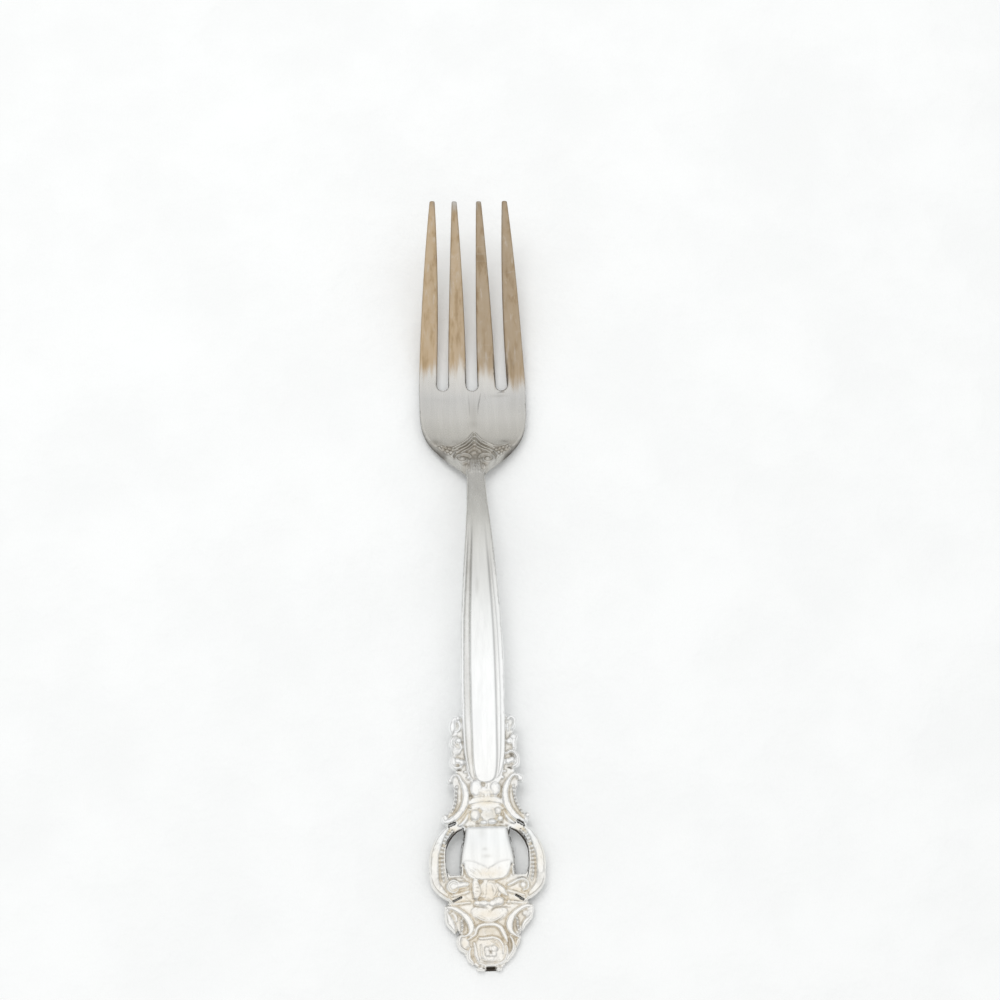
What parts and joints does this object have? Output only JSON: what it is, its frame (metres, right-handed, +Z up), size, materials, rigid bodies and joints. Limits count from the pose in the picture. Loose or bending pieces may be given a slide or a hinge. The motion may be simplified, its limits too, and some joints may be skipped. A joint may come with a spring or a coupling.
{
  "type": "dinner fork",
  "caption": "Dinner fork with long tines, a dished palm, an arched panelled stem and a broad flat pierced handle with scroll, bead and rose relief, for lifting food at table",
  "frame": {"origin": "on the table under the middle of the fork's length and width", "axes": "+Y from the handle's end to the tine tips, +X across the fork, +Z up, with the relief side up"},
  "size_m": [0.0268, 0.1905, 0.0163],
  "materials": {
    "bright_silver": "polished silver plate, worn and lightly hazed",
    "relief_silver": "silver plate with warm tarnish and dark recesses",
    "tarnished_silver": "silver plate under bronze-coloured tarnish, brushed lengthwise"
  },
  "bodies": {
    "root": {"tine_outer_left": "tarnished_silver", "tine_inner_left": "tarnished_silver", "tine_inner_right": "tarnished_silver", "tine_outer_right": "tarnished_silver", "palm": "bright_silver", "heel_ogee": "relief_silver", "heel_ribs": "relief_silver", "heel_scroll_left": "relief_silver", "heel_scroll_right": "relief_silver", "heel_leaf_left": "relief_silver", "heel_leaf_right": "relief_silver", "neck": "bright_silver", "stem": "bright_silver", "stem_panel": "bright_silver", "stem_border_left": "bright_silver", "stem_border_right": "bright_silver", "handle_plate": "bright_silver", "crest_scrolls_left": "relief_silver", "crest_scrolls_right": "relief_silver", "collar_leaf": "relief_silver", "collar_band": "relief_silver", "collar_flower": "relief_silver", "shoulder_scroll_left": "relief_silver", "shoulder_scroll_right": "relief_silver", "shoulder_beads_left": "relief_silver", "shoulder_beads_right": "relief_silver", "frame_arm_left": "bright_silver", "frame_arm_right": "bright_silver", "arm_beads_left": "relief_silver", "arm_beads_right": "relief_silver", "cartouche": "bright_silver", "cartouche_calyx": "relief_silver", "volute_left": "relief_silver", "volute_right": "relief_silver", "lower_blossom": "relief_silver", "swag_leaves": "relief_silver", "end_scroll_left": "relief_silver", "end_scroll_right": "relief_silver", "end_beads_left": "relief_silver", "end_beads_right": "relief_silver", "end_leaf_left": "relief_silver", "end_leaf_right": "relief_silver", "rose_hood": "relief_silver", "rose_leaf_left": "relief_silver", "rose_leaf_right": "relief_silver", "rose_outer_petals": "relief_silver", "rose_inner_petals": "relief_silver", "rose_heart": "relief_silver", "end_tip": "relief_silver"}
  },
  "joints": []
}
